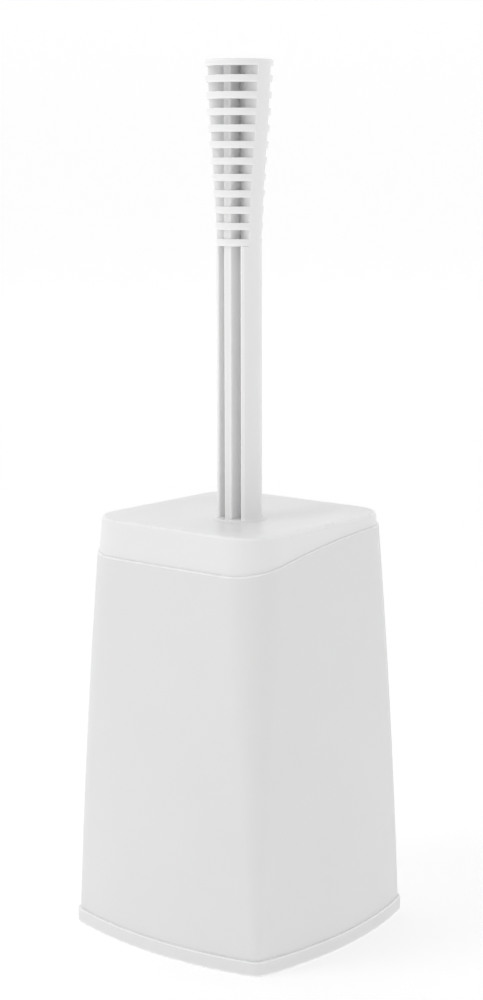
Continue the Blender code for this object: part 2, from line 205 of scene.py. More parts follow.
# %% The moulded plastic recipe
HANDLING = 0.02  # how far handling moves the roughness either way
EDGE_GLOSS = -0.12  # how much smoother the highlighted edges are made


def moulded_plastic(name, colour, roughness, grain, ripple, waxy=0.10):
    """White goods plastic: grain and ripple are bump heights in metres."""
    material = bpy.data.materials.new(name)
    material.use_nodes = True
    tree = material.node_tree
    shader = tree.nodes["Principled BSDF"]
    shader.inputs["IOR"].default_value = 1.49
    shader.inputs["Subsurface Weight"].default_value = waxy
    shader.inputs["Subsurface Radius"].default_value = (1.0, 0.95, 0.9)
    shader.inputs["Subsurface Scale"].default_value = 1.5 * MM
    place = add_node(tree, "TexCoord").outputs["Object"]
    # slow drift of the melt: patches about 35 mm across
    drift = add_node(tree, "TexNoise", {"Vector": place, "Scale": 1 / (35 * MM), "Detail": 3.0})
    low = tuple(c * 0.965 for c in colour[:3]) + (1.0,)
    tint = blend(tree, drift.outputs["Fac"], low, colour)
    # painted highlight: convex edges are whitened in colour, and made smoother, more in some places than in
    # others
    edge = add_node(tree, "Attribute", attribute_name="edge_highlight_and_gloss").outputs["Fac"]
    highlight_patches = add_node(tree, "TexNoise", {"Vector": place, "Scale": 1 / (6 * MM), "Detail": 2.0})
    patchy = add_node(tree, "MapRange", {
        "Value": highlight_patches.outputs["Fac"], "From Min": 0.3, "From Max": 0.7, "To Min": 0.55, "To Max": 1.0})
    edge_highlight_mask = add_node(tree, "Math", operation="MULTIPLY")
    tree.links.new(edge, edge_highlight_mask.inputs[0])
    tree.links.new(patchy.outputs["Result"], edge_highlight_mask.inputs[1])
    tree.links.new(blend(tree, edge_highlight_mask.outputs["Value"], tint, srgb("fdfdfd")), shader.inputs["Base Color"])
    # handling leaves cloudier and glossier patches about 12 mm across
    cloud = add_node(tree, "TexNoise", {"Vector": place, "Scale": 1 / (12 * MM), "Detail": 5.0})
    spread = add_node(tree, "MapRange", {
        "Value": cloud.outputs["Fac"], "From Min": 0.3, "From Max": 0.7,
        "To Min": roughness - HANDLING, "To Max": roughness + HANDLING})
    polish = add_node(tree, "Math", operation="MULTIPLY_ADD")
    tree.links.new(edge_highlight_mask.outputs["Value"], polish.inputs[0])
    polish.inputs[1].default_value = EDGE_GLOSS
    tree.links.new(spread.outputs["Result"], polish.inputs[2])
    tree.links.new(polish.outputs["Value"], shader.inputs["Roughness"])
    # the broad ripple of shrinkage, about 9 mm across
    wave = add_node(tree, "TexNoise", {"Vector": place, "Scale": 1 / (9 * MM), "Detail": 1.0})
    bump = add_node(tree, "Bump", {"Height": wave.outputs["Fac"], "Distance": ripple, "Strength": 1.0})
    # the spark-eroded grain is about 0.2 mm across, drawn at 0.6 mm so that it shows
    pits = add_node(tree, "TexNoise", {"Vector": place, "Scale": 1 / (0.6 * MM), "Detail": 2.0})
    bump = add_node(tree, "Bump", {
        "Height": pits.outputs["Fac"], "Distance": grain, "Strength": 1.0, "Normal": bump.outputs["Normal"]})
    tree.links.new(bump.outputs["Normal"], shader.inputs["Normal"])
    return material


# the shell is the mattest of them, and it lets in as much light as the lid
SHELL_PLASTIC = moulded_plastic(
    "moulded_polypropylene_matt", srgb("eaeaea"), 0.46, 0.03 * MM, 0.05 * MM, 0.35)
# the lid is the smoothest, for a soft sheen on its top
LID_PLASTIC = moulded_plastic(
    "moulded_polypropylene_satin", srgb("f1f1f1"), 0.34, 0.02 * MM, 0.04 * MM, 0.35)
# the handle is the whitest, to lighten its deep recesses a little
HANDLE_PLASTIC = moulded_plastic(
    "moulded_polypropylene_grip", srgb("f3f3f3"), 0.36, 0.02 * MM, 0.03 * MM, 0.2)
# the core is slightly creamy
CORE_PLASTIC = moulded_plastic("moulded_polypropylene_core", srgb("e6e6e3"), 0.42, 0.02 * MM, 0.03 * MM)
# the cup is light grey
CUP_PLASTIC = moulded_plastic("moulded_polypropylene_cup", srgb("d2d4d4"), 0.44, 0.02 * MM, 0.05 * MM, 0.2)
print("plastics:", [m.name for m in bpy.data.materials if "polypropylene" in m.name])

# %% [markdown]
# ## Growing a body ring by ring
# The holder's outline changes from a bowed square with tight corners at the foot to a round-cornered
# square at the mouth. A stretched cube can't do that, and a subdivided cage would need guesswork. Here a
# circle of vertices is laid on the outline, and each next storey is extruded from the last and laid on
# the outline at its own height, so every height has its true section.

# %% Rings and bodies
HIGHLIGHT_START = math.radians(9)  # the bend at a vertex where the painted edge highlight begins
HIGHLIGHT_FULL = math.radians(14)


def mark_edges(shape):
    """Writes how convex the surface is at each vertex, from 0 on a flat to 1 on a rounded edge: the mask of
    the painted edge highlight.
    """
    highlight_layer = shape.verts.layers.float.new("edge_highlight_and_gloss")
    for vert in shape.verts:
        bend = max((e.calc_face_angle_signed(0.0) for e in vert.link_edges), default=0.0)
        vert[highlight_layer] = min(max((bend - HIGHLIGHT_START) / (HIGHLIGHT_FULL - HIGHLIGHT_START), 0.0), 1.0)


def add_piece(name, shape, material, body, slot, *nodes, sharp=30):
    """Finishes a bmesh as a piece that rides on a body and stands for the named CAD nodes."""
    mark_edges(shape)
    mesh = bpy.data.meshes.new(name)
    shape.to_mesh(mesh)
    shape.free()
    mesh.materials.append(material)
    mesh.shade_smooth()
    mesh.set_sharp_from_angle(angle=math.radians(sharp))
    piece = bpy.data.objects.new(name, mesh)
    bpy.context.scene.collection.objects.link(piece)
    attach(piece, body)
    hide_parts(*nodes)
    print(name, "has", len(mesh.polygons), "faces")
    return piece


def lay_ring(verts, points, place):
    for vert in verts:
        vert.co = points[vert[place]]


def grow_body(shape, rings, closed=False):
    """Extrudes a ring of vertices from section to section, then joins or caps its two ends."""
    place = shape.verts.layers.int.get("place") or shape.verts.layers.int.new("place")
    first = bmesh.ops.create_circle(shape, segments=len(rings[0]), radius=1.0)["verts"]
    for i, vert in enumerate(first):
        vert[place] = i
    lay_ring(first, rings[0], place)
    start = list({edge for vert in first for edge in vert.link_edges})
    edges = start
    for points in rings[1:] + ([rings[0]] if closed else []):
        grown = bmesh.ops.extrude_edge_only(shape, edges=edges)["geom"]
        fresh = {item for item in grown if isinstance(item, bmesh.types.BMVert)}
        lay_ring(fresh, points, place)
        grown_edges = [item for item in grown if isinstance(item, bmesh.types.BMEdge)]
        edges = [edge for edge in grown_edges if fresh.issuperset(edge.verts)]
    if closed:
        bmesh.ops.remove_doubles(shape, verts=shape.verts, dist=0.001 * MM)
    else:
        for end in (start, edges):
            bmesh.ops.contextual_create(shape, geom=end)
    bmesh.ops.recalc_face_normals(shape, faces=shape.faces)
    return shape


# %% [markdown]
# ## The outline of the holder
# Each side is a shallow arc, and the corners are round and tangent to both sides. Going up, the side
# bows less and the corner grows, all in a straight line from foot to mouth. The mouth is level in front
# and sweeps up along the sides toward the back, and the lid's skirt fills what is left.

# %% Outline, taper and mouth
SIDE_STEPS = 28
CORNER_STEPS = 12
pan_low, pan_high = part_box("base_pan")
shell_low, shell_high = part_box("container_shell")
lid_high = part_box("lid")[1]
handle_low, handle_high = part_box("handle")

BAND_WIDTH = pan_high.x - pan_low.x
BAND_HEIGHT = 6.6 * MM
FOOT_WIDTH = shell_high.x - shell_low.x
FOOT_BOW = 7.7 * MM
FOOT_CORNER = 5.5 * MM
MOUTH_WIDTH = 98.8 * MM
MOUTH_BOW = 0.4 * MM
MOUTH_CORNER = 17.5 * MM
CORNER_SWELL = 0.9 * MM
MOUTH_FRONT = 168.5 * MM
MOUTH_RISE = 11.5 * MM
MOUTH_CROWN = 2.5 * MM
SHELL_WALL = 2.0 * MM
FIT = 0.3 * MM
HAIR = 0.01 * MM  # the gap that is left where two mouldings meet in sight
CRISP = 0.02 * MM  # round of an edge that is moulded sharp
HIGHLIGHT_REACH = 0.5 * MM  # how far the painted edge highlight reaches from an edge onto the flat
SOFT_EDGE = 0.8 * MM


def arc(centre, radius, start, end, steps):
    turns = [start + (end - start) * i / steps for i in range(steps + 1)]
    return [(centre[0] + radius * math.cos(a), centre[1] + radius * math.sin(a)) for a in turns]


def bowed_square(width, bow, corner):
    """A square with four shallow arcs for sides and round corners tangent to them."""
    bow = max(bow, 1e-5)
    half_chord = width / 2 - bow
    side_radius = (half_chord**2 + bow**2) / (2 * bow)
    side_centre = width / 2 - side_radius
    reach = side_radius - corner
    corner_centre = (side_centre + math.sqrt(2 * reach**2 - side_centre**2)) / 2
    turn = math.atan2(corner_centre, corner_centre - side_centre)
    side = arc((side_centre, 0.0), side_radius, -turn, turn, SIDE_STEPS)
    bend = arc((corner_centre, corner_centre), corner, turn, math.pi / 2 - turn, CORNER_STEPS)
    points = []
    for i in range(4):
        cosine, sine = round(math.cos(i * math.pi / 2)), round(math.sin(i * math.pi / 2))
        points += [(cosine * x - sine * y, sine * x + cosine * y) for x, y in side + bend[1:-1]]
    return points


def level(points, height):
    return [Vector((x, y, height)) for x, y in points]


def section(height, inset=0.0):
    """The holder's outline at a height, moved inward. Above the mouth it carries on as the lid."""
    share = (height - BAND_HEIGHT) / (MOUTH_FRONT - BAND_HEIGHT)
    width = FOOT_WIDTH + (MOUTH_WIDTH - FOOT_WIDTH) * share
    bow = FOOT_BOW + (MOUTH_BOW - FOOT_BOW) * share
    corner = FOOT_CORNER + (MOUTH_CORNER - FOOT_CORNER) * share + 4 * CORNER_SWELL * share * (1 - share)
    return level(bowed_square(width - 2 * inset, bow, max(corner - inset, SOFT_EDGE)), height)


def mouth_height(y):
    share = y / MOUTH_WIDTH + 0.5
    return MOUTH_FRONT + MOUTH_RISE * share + 4 * MOUTH_CROWN * share * (1 - share)


def section_point(index, height, inset, step=2 * MM):
    """One point of the outline at a height, read from two sections that lie step apart."""
    low = math.floor(height / step) * step
    key = (round(low / MM, 3), round(inset / MM, 3))
    if key not in section_store:
        section_store[key] = (section(low, inset), section(low + step, inset))
    near, far = section_store[key]
    return near[index].lerp(far[index], (height - low) / step)


section_store = {}


def swept(height, inset=0.0):
    """The outline where it meets the surface z = height(y)."""
    ring = section(MOUTH_FRONT, inset)
    for _ in range(4):
        ring = [section_point(i, height(point.y), inset) for i, point in enumerate(ring)]
    return ring


def round_ring(radius, height, like):
    return [Vector((p.x, p.y, 0.0)).normalized() * radius + Vector((0, 0, height)) for p in like]


def quarter_turn(steps):
    """(1 - cos, 1 - sin) along a quarter circle, for rounding an edge."""
    angles = [math.pi / 2 * i / steps for i in range(steps + 1)]
    return [(1 - math.cos(a), 1 - math.sin(a)) for a in angles]


print("outline has", len(section(MOUTH_FRONT)), "points")
mouth_back = mouth_height(MOUTH_WIDTH / 2)
print("mouth rises from", round(MOUTH_FRONT / MM, 1), "to", round(mouth_back / MM, 1), "mm")

# %% [markdown]
# ## Container shell
# The shell is one moulding, open at both ends, because a box that widens downward has to come off its
# core from below. Its mouth has a small round on the outside, which catches the light as a thin line,
# and a painted highlight whitens that edge as well.

# %% Container shell
INNER_BEVEL = 0.3 * MM  # at the mouth's inner edge
SHELL_STOREYS = 30
INNER_STOREYS = 16


def make_shell():
    foot = BAND_HEIGHT + HAIR
    rings = [section(foot, SHELL_WALL), section(foot, CRISP), section(foot + CRISP)]
    rings.append(section(foot + HIGHLIGHT_REACH))
    for i in range(1, SHELL_STOREYS):
        share = i / SHELL_STOREYS
        rings.append(swept(lambda y: foot + share * (mouth_height(y) - SOFT_EDGE - foot)))
    rings.append(swept(lambda y: mouth_height(y) - SOFT_EDGE - HIGHLIGHT_REACH))
    for inward, down in quarter_turn(5):
        rings.append(swept(lambda y: mouth_height(y) - SOFT_EDGE * down, SOFT_EDGE * inward))
    rings.append(swept(lambda y: mouth_height(y), SHELL_WALL - INNER_BEVEL))
    rings.append(swept(lambda y: mouth_height(y) - INNER_BEVEL, SHELL_WALL))
    for i in range(INNER_STOREYS - 1, 0, -1):
        share = i / INNER_STOREYS
        rings.append(swept(lambda y: foot + share * (mouth_height(y) - foot), SHELL_WALL))
    shape = grow_body(bmesh.new(), rings, closed=True)
    return add_piece("holder_shell", shape, SHELL_PLASTIC, "holder", "shell_plastic", "container_shell")


make_shell()

# %% [markdown]
# ## Base pan
# The pan snaps into the shell from below. Its rim is the band that stands proud round the foot, its
# upstand goes up inside the shell, and a low ring on its floor seats the drip cup.

# %% Base pan
PAN_FLOOR = 2.5 * MM
PAN_WALL = 1.8 * MM
CUP_SEAT_RADIUS = 47.2 * MM
CUP_SEAT_WALL = 1.6 * MM
CUP_SEAT_HEIGHT = 2.0 * MM
BAND_CORNER = 5.5 * MM
LEDGE_ROUND = 0.4 * MM
UPSTAND_BEVEL = 0.4 * MM  # at the upstand's two top edges
BAND_HOLD = 0.4 * MM  # how far past its rounded edges the band keeps a ring


def band_ring(inset, height):
    return level(bowed_square(BAND_WIDTH - 2 * inset, FOOT_BOW, BAND_CORNER - inset), height)


def make_pan():
    rings = []
    for inward, down in reversed(quarter_turn(4)):
        rings.append(band_ring(SOFT_EDGE * inward, SOFT_EDGE * down))
    rings.append(band_ring(0.0, SOFT_EDGE + BAND_HOLD))
    rings.append(band_ring(0.0, BAND_HEIGHT - LEDGE_ROUND - BAND_HOLD))
    for inward, down in quarter_turn(3):
        rings.append(band_ring(LEDGE_ROUND * inward, BAND_HEIGHT - LEDGE_ROUND * down))
    outer = SHELL_WALL + FIT
    inner = outer + PAN_WALL
    rings += [section(BAND_HEIGHT, outer), section(pan_high.z - UPSTAND_BEVEL, outer)]
    rings += [section(pan_high.z, outer + UPSTAND_BEVEL), section(pan_high.z, inner - UPSTAND_BEVEL)]
    rings.append(section(pan_high.z - UPSTAND_BEVEL, inner))
    wall = section(BAND_HEIGHT, inner)
    for inward, down in quarter_turn(4):
        ring = section(BAND_HEIGHT, inner + SOFT_EDGE * inward)
        rings.append([Vector((p.x, p.y, PAN_FLOOR + SOFT_EDGE * down)) for p in ring])
    seat_top = PAN_FLOOR + CUP_SEAT_HEIGHT
    rings.append(round_ring(CUP_SEAT_RADIUS + CUP_SEAT_WALL, PAN_FLOOR, wall))
    rings.append(round_ring(CUP_SEAT_RADIUS + CUP_SEAT_WALL, seat_top, wall))
    rings += [round_ring(CUP_SEAT_RADIUS, seat_top, wall), round_ring(CUP_SEAT_RADIUS, PAN_FLOOR, wall)]
    shape = grow_body(bmesh.new(), rings)
    return add_piece("holder_base_pan", shape, SHELL_PLASTIC, "holder", "shell_plastic", "base_pan")


make_pan()

# %% [markdown]
# ## Turned pieces
# The drip cup and the brush core are round, so each is one profile spun about the handle's axis. A
# helper first rounds the profile's corners, because a mould never leaves a knife edge.

# %% Spin helper
MOULD_ROUND = 1.6 * MM


def softened(profile, radius, steps=4):
    """The same profile with each inner corner rounded."""
    points = [Vector(p) for p in profile]
    made = [points[0]]
    for before, corner, after in zip(points, points[1:], points[2:]):
        run = min(radius, (before - corner).length * 0.45, (after - corner).length * 0.45)
        enter = corner + (before - corner).normalized() * run
        leave = corner + (after - corner).normalized() * run
        for i in range(steps + 1):
            share = i / steps
            made.append(enter.lerp(corner, share).lerp(corner.lerp(leave, share), share))
    return made + [points[-1]]


def spun(profile, steps=96):
    shape = bmesh.new()
    verts = [shape.verts.new((radius, 0.0, height)) for radius, height in profile]
    edges = [shape.edges.new(pair) for pair in zip(verts, verts[1:])]
    bmesh.ops.spin(
        shape, geom=verts + edges, cent=(0, 0, 0), axis=(0, 0, 1),
        angle=2 * math.pi, steps=steps, use_merge=True)
    bmesh.ops.remove_doubles(shape, verts=shape.verts, dist=0.005 * MM)
    bmesh.ops.recalc_face_normals(shape, faces=shape.faces)
    return shape


# %% Drip cup
CUP_WALL = 1.5 * MM
CUP_FOOT_RADIUS = 46.2 * MM
CUP_RIM_RADIUS = 47.8 * MM
CUP_LIP = 1.1 * MM


def make_cup():
    low, high = (corner.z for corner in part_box("drip_cup"))
    floor = low + CUP_WALL
    profile = [
        (0.0, floor),
        (CUP_FOOT_RADIUS - CUP_WALL, floor),
        (CUP_RIM_RADIUS - CUP_WALL, high),
        (CUP_RIM_RADIUS + CUP_LIP, high),
        (CUP_RIM_RADIUS + CUP_LIP, high - 2 * CUP_LIP),
        (CUP_RIM_RADIUS, high - 2 * CUP_LIP),
        (CUP_FOOT_RADIUS, low),
        (0.0, low),
    ]
    shape = spun(softened(profile, MOULD_ROUND), 128)
    return add_piece("inner_drip_cup", shape, CUP_PLASTIC, "holder", "cup_plastic", "drip_cup")


make_cup()

# %% [markdown]
# ## Lid
# The lid is a cap with a rounded top edge, a skirt that meets the sweeping mouth, and a lip that drops
# inside the shell. A shallow round dish sinks into its top and leaves four flat corners. It is so shallow
# that this soft light hardly shows it.

# %% Lid
LID_TOP = lid_high.z
LID_STEP = 0.7 * MM
LID_WALL = 2.0 * MM
LID_ROUND = 1.2 * MM
DISH_DEPTH = 2.5 * MM
DISH_MARGIN = 1.8 * MM
DISH_MIDDLE = 14.2 * MM
LIP_DEPTH = 5.0 * MM
LIP_WALL = 1.6 * MM
SLIDE_FIT = 0.4 * MM
KEY_WIDTH = 15.0 * MM
KEY_CORNER = 2.0 * MM
DISH_FLOOR = LID_TOP - DISH_DEPTH


def dish_rings(drop, like, steps=14):
    edge = section(LID_TOP)[SIDE_STEPS // 2].x - LID_STEP - LID_ROUND - DISH_MARGIN
    rings = []
    for i in range(steps + 1):
        share = i / steps
        radius = DISH_MIDDLE + (edge - DISH_MIDDLE) * share
        rings.append(round_ring(radius, DISH_FLOOR + DISH_DEPTH * share**2 - drop, like))
    return rings


def make_lid():
    flat = section(LID_TOP, LID_STEP + LID_ROUND)
    hole = bowed_square(KEY_WIDTH + 2 * FIT, 0.0, KEY_CORNER + FIT)
    rings = [level(hole, DISH_FLOOR)] + dish_rings(0.0, flat)
    for inward, down in reversed(quarter_turn(7)):
        rings.append(section(LID_TOP - LID_ROUND * down, LID_STEP + LID_ROUND * inward))
    skirt_top = LID_TOP - LID_ROUND
    rings.append(section(skirt_top - HIGHLIGHT_REACH, LID_STEP))
    for share in (0.25, 0.5, 0.75):
        rings.append(swept(lambda y: skirt_top + share * (mouth_height(y) - skirt_top), LID_STEP))
    for above in (HIGHLIGHT_REACH, HAIR + CRISP):
        rings.append(swept(lambda y: mouth_height(y) + above, LID_STEP))
    rings.append(swept(lambda y: mouth_height(y) + HAIR, LID_STEP + CRISP))
    lip = swept(lambda y: mouth_height(y) + HAIR, SHELL_WALL + SLIDE_FIT)
    lip_inner = swept(lambda y: mouth_height(y) + HAIR, SHELL_WALL + SLIDE_FIT + LIP_WALL)
    drop = Vector((0, 0, LIP_DEPTH + FIT))
    rings += [lip, [p - drop for p in lip], [p - drop for p in lip_inner]]
    rings.append([Vector((p.x, p.y, LID_TOP - LID_WALL)) for p in lip_inner])
    rings += reversed(dish_rings(LID_WALL, flat, 6))
    rings.append(level(hole, DISH_FLOOR - LID_WALL))
    shape = grow_body(bmesh.new(), rings, closed=True)
    return add_piece("brush_lid", shape, LID_PLASTIC, "brush", "lid_plastic", "lid")


make_lid()

# %% [markdown]
# ## Handle
# The handle is one moulding. Its shaft is round at the sides and open in front and behind: a rib stands
# in the middle of each opening, with a deep groove on each side of it. The grip flares upward, and eleven
# recesses are sunk in its front and back. Their floor is scooped, deep beside the rib and shallow where
# it runs out on the side, so the fins between them melt into smooth sides. Three kinds of section say
# all of that, so the handle is grown like the holder, from section to section.

# %% Handle sections
SHAFT_RADIUS = 9.8 * MM
FOOT_RADIUS = 12.2 * MM
FOOT_FLARE = 2.4 * MM
FOOT_PLATE = 0.8 * MM
GROOVE_FLARE = 0.6 * MM  # what is left of the foot's flare where the grooves begin
FLARING_SHARE = 0.93  # points of the section beyond this share of its radius flare with the foot
WEB_HALF = 1.5 * MM
RECESS_EDGE = 4.1 * MM
SCOOP_REACH = 8.5 * MM
CHEEK_FRONT = 6.5 * MM
CHEEK_WALL = 1.4 * MM
RIB_HALF = 1.9 * MM
RIB_FRONT = 8.1 * MM
RIB_ROUND = 0.5 * MM
RECESSES = 11
RECESS_HEIGHT = 3.78 * MM
FIN_HEIGHT = 3.07 * MM
CAP_HEIGHT = 2.8 * MM
GRIP_TOP_RADIUS = 14.7 * MM
GRIP_SWELL = 0.05
FIN_ROUND = 0.45 * MM
CAP_ROUND = 1.0 * MM
HANDLE_TOP = handle_high.z
FOOT_Z = DISH_FLOOR + HAIR
GRIP_LENGTH = CAP_HEIGHT + RECESSES * (RECESS_HEIGHT + FIN_HEIGHT)
SHAFT_TOP = HANDLE_TOP - GRIP_LENGTH
FLOOR_STEPS = 6
NOSE_STEPS = 7
EDGE_STEPS = 6
SIDE_ARC_STEPS = 16
STUD_RADIUS = 3.5 * MM
STUD_TIP = 0.5 * MM
KEY_POWER = 8  # the higher, the sharper the key's corners


def spread(start, end, steps):
    return [Vector(start).lerp(Vector(end), i / steps) for i in range(steps + 1)]


def around(points):
    """A whole outline from the quarter that runs from the front middle to the right side."""
    half = points + [Vector((p.x, -p.y)) for p in reversed(points[:-1])]
    return half + [Vector((-p.x, p.y)) for p in reversed(half[1:-1])]


def rib_points():
    """The front and right side of the rib, down to the web."""
    edge = arc((RIB_HALF - RIB_ROUND, -RIB_FRONT + RIB_ROUND), RIB_ROUND, -math.pi / 2, 0.0, 4)
    front = spread((0.0, -RIB_FRONT), edge[0], 2)
    side = spread(edge[-1], (RIB_HALF, -WEB_HALF), 4)
    return front[:-1] + [Vector(p) for p in edge] + side[1:]


def from_front(radius, angle):
    return Vector((radius * math.sin(angle), -radius * math.cos(angle)))


def opening_angles(radius):
    """Where a circle's points stand, from the rib to the side, so that they face those of a recess."""
    marks = [
        (math.asin(RIB_HALF / radius), 0),
        (math.acos(CHEEK_FRONT / SHAFT_RADIUS), FLOOR_STEPS + NOSE_STEPS),
        (math.acos(RECESS_EDGE / radius), EDGE_STEPS),
    ]
    angles = []
    for (low, _), (high, steps) in zip(marks, marks[1:]):
        angles += [low + (high - low) * (i + 1) / steps for i in range(steps)]
    return angles


def side_arc(radius):
    start = math.acos(RECESS_EDGE / radius)
    turns = [start + (math.pi / 2 - start) * (i + 1) / SIDE_ARC_STEPS for i in range(SIDE_ARC_STEPS)]
    return [from_front(radius, turn) for turn in turns]


def whole(radius, inset=0.0, side_inset=0.0):
    """A full circle, drawn in by inset where the openings are and by side_inset between them."""
    front = len(rib_points())
    across = [RIB_HALF * i / (front - 1) for i in range(front)]
    points = [from_front(radius - inset, math.asin(x / radius)) for x in across]
    angles = opening_angles(radius)
    points += [from_front(radius - inset, angle) for angle in angles[:-1]]
    points.append(from_front(radius - side_inset, angles[-1]))
    return around(points + side_arc(radius - side_inset))


def recessed(radius):
    """The grip's section between two fins: rib, scooped floor, round side."""
    points = rib_points()
    for angle in opening_angles(radius)[:-1]:
        x = radius * math.sin(angle)
        share = min((x - RIB_HALF) / (SCOOP_REACH - RIB_HALF), 1.0)
        depth = WEB_HALF + (RECESS_EDGE - WEB_HALF) * math.sin(0.5 * math.pi * share)
        points.append(Vector((x, -depth)))
    points.append(from_front(radius, math.acos(RECESS_EDGE / radius)))
    return around(points + side_arc(radius))


def grooved():
    """The shaft's section: rib, groove floor, round-edged cheek, round side."""
    outer = math.sqrt(SHAFT_RADIUS**2 - CHEEK_FRONT**2)
    half = CHEEK_WALL / 2
    nose = arc((outer - half, -CHEEK_FRONT + 0.7 * half), half, -math.pi, -0.25 * math.pi, NOSE_STEPS - 1)
    floor = spread((RIB_HALF, -WEB_HALF), (outer - CHEEK_WALL, -WEB_HALF), FLOOR_STEPS)[1:]
    points = rib_points() + floor + [Vector(p) for p in nose]
    start = math.atan2(nose[-1][0], -nose[-1][1])
    end = math.acos(RECESS_EDGE / SHAFT_RADIUS)
    turns = [start + (end - start) * (i + 1) / EDGE_STEPS for i in range(EDGE_STEPS)]
    points += [from_front(SHAFT_RADIUS, turn) for turn in turns]
    return around(points + side_arc(SHAFT_RADIUS))


def fin_radius(height):
    share = (height - SHAFT_TOP) / GRIP_LENGTH
    share -= GRIP_SWELL * math.sin(2 * math.pi * share)
    return SHAFT_RADIUS + (GRIP_TOP_RADIUS - SHAFT_RADIUS) * share


print("grip is", round(GRIP_LENGTH / MM, 2), "mm long; points per section:",
      len(grooved()), len(recessed(12 * MM)), len(whole(12 * MM)))

# %% Handle body
def fin_rings(low, high, cap=False):
    """A fin from its underside to its top. Its rim is rounded, except on the smooth sides."""
    rings = []
    for inward, down in reversed(quarter_turn(4)):
        height = low + FIN_ROUND * down
        rings.append(level(whole(fin_radius(height), FIN_ROUND * inward), height))
    edge = CAP_ROUND if cap else FIN_ROUND
    for inward, down in quarter_turn(5):
        height = high - edge * down
        inset = edge * inward
        rings.append(level(whole(fin_radius(height), inset, inset if cap else 0.0), height))
    return rings


def shaft_rings():
    rings = []
    steps = 8
    start = FOOT_Z + FOOT_PLATE
    groove = grooved()
    for i in range(steps + 1):
        turn = 0.5 * math.pi * i / steps
        height = FOOT_Z + FOOT_FLARE * (1 - math.cos(turn))
        radius = SHAFT_RADIUS + FOOT_FLARE * (1 - math.sin(turn))
        rings.append((height, radius))
    below = [level(whole(r), z) for z, r in rings if z < start]
    above = []
    rest = [pair for pair in rings if pair[0] > start]
    for height, radius in [(start, SHAFT_RADIUS + GROOVE_FLARE)] + rest:
        grown = radius / SHAFT_RADIUS
        flaring = [p * grown if p.length > FLARING_SHARE * SHAFT_RADIUS else p for p in groove]
        above.append(level(flaring, height))
    below.append(level(whole(SHAFT_RADIUS + GROOVE_FLARE), start))
    top = [level(groove, SHAFT_TOP - 0.3 * MM), level(groove, SHAFT_TOP)]
    return below + above + top


def root_rings():
    """Below the foot: the square key that fits the lid's hole, and the stud that fits the core."""
    like = whole(FOOT_RADIUS)
    key_low = DISH_FLOOR - LID_WALL + FIT
    square = []
    for point in like:
        across, along = abs(point.normalized().x), abs(point.normalized().y)
        reach = (across**KEY_POWER + along**KEY_POWER) ** (-1 / KEY_POWER) * KEY_WIDTH / 2
        square.append(point.normalized() * reach)
    rings = [round_ring(STUD_RADIUS - STUD_TIP, handle_low.z, like)]
    rings.append(round_ring(STUD_RADIUS, handle_low.z + STUD_TIP, like))
    rings += [round_ring(STUD_RADIUS, key_low, like), level(square, key_low), level(square, FOOT_Z)]
    return rings


def make_handle():
    rings = root_rings() + shaft_rings()
    low = SHAFT_TOP
    for _ in range(RECESSES):
        rings += fin_rings(low, low + FIN_HEIGHT)
        low += FIN_HEIGHT
        for share in (0.0, 0.5, 1.0):
            height = low + RECESS_HEIGHT * share
            rings.append(level(recessed(fin_radius(height)), height))
        low += RECESS_HEIGHT
    rings += fin_rings(low, HANDLE_TOP, cap=True)
    shape = grow_body(bmesh.new(), rings)
    return add_piece("brush_handle", shape, HANDLE_PLASTIC, "brush", "handle_plastic", "handle", sharp=40)


make_handle()

# %% [markdown]
# ## Brush core
# Under the lid the core's neck, which is bored for the handle's stud, runs down to a plain cylinder
# that holds the tufts.

# %% Brush core
core_low, core_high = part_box("brush_core")
FLANGE_RADIUS = 13.0 * MM
FLANGE_HEIGHT = 2.5 * MM
NECK_RADIUS = 6.5 * MM
CORE_RADIUS = 12.0 * MM
CORE_LOW = core_low.z
TUFT_ROWS = 10
TUFT_PITCH = 7.8 * MM
CORE_TOP = CORE_LOW + TUFT_ROWS * TUFT_PITCH
SHOULDER = 7.0 * MM


def make_core():
    flange = core_high.z
    socket = STUD_RADIUS + FIT
    profile = [
        (0.0, handle_low.z - FIT),
        (socket, handle_low.z - FIT),
        (socket, flange),
        (FLANGE_RADIUS, flange),
        (FLANGE_RADIUS, flange - FLANGE_HEIGHT),
        (NECK_RADIUS, flange - FLANGE_HEIGHT - 2 * MM),
        (NECK_RADIUS, CORE_TOP + SHOULDER),
        (CORE_RADIUS, CORE_TOP),
        (CORE_RADIUS, CORE_LOW),
        (0.0, CORE_LOW),
    ]
    shape = spun(softened(profile, MOULD_ROUND))
    return add_piece("brush_head_core", shape, CORE_PLASTIC, "brush", "core_plastic", "brush_core")


make_core()

# %% [markdown]
# ## Bristles
# A tuft is about thirty crimped filaments folded into one drilled hole. Modelling each filament with a
# few faces keeps them cheap, so four different tufts are made once, and each row takes twelve copies of
# them, turned about their own axis so that no two look alike.

# %% Bristle finish
def bristle_plastic(name, colour):
    """Clear nylon-like filament: glossy, and bright where light goes through its tip."""
    material = bpy.data.materials.new(name)
    material.use_nodes = True
    tree = material.node_tree
    shader = tree.nodes["Principled BSDF"]
    shader.inputs["IOR"].default_value = 1.53
    shader.inputs["Roughness"].default_value = 0.30
    shader.inputs["Subsurface Weight"].default_value = 0.25
    shader.inputs["Subsurface Scale"].default_value = 0.5 * MM
    place = add_node(tree, "TexCoord").outputs["Object"]
    drift = add_node(tree, "TexNoise", {"Vector": place, "Scale": 1 / (1.5 * MM), "Detail": 1.0})
    low = tuple(c * 0.86 for c in colour[:3]) + (1.0,)
    ramp = add_node(tree, "ValToRGB", {"Fac": drift.outputs["Fac"]})
    ramp.color_ramp.elements[0].color = low
    ramp.color_ramp.elements[1].color = colour
    ramp.color_ramp.elements[0].position = 0.35
    ramp.color_ramp.elements[1].position = 0.65
    tree.links.new(ramp.outputs["Color"], shader.inputs["Base Color"])
    return material


BRISTLE = bristle_plastic("drawn_nylon_bristle", srgb("f2f2ee"))
print("bristle finish:", BRISTLE.name)

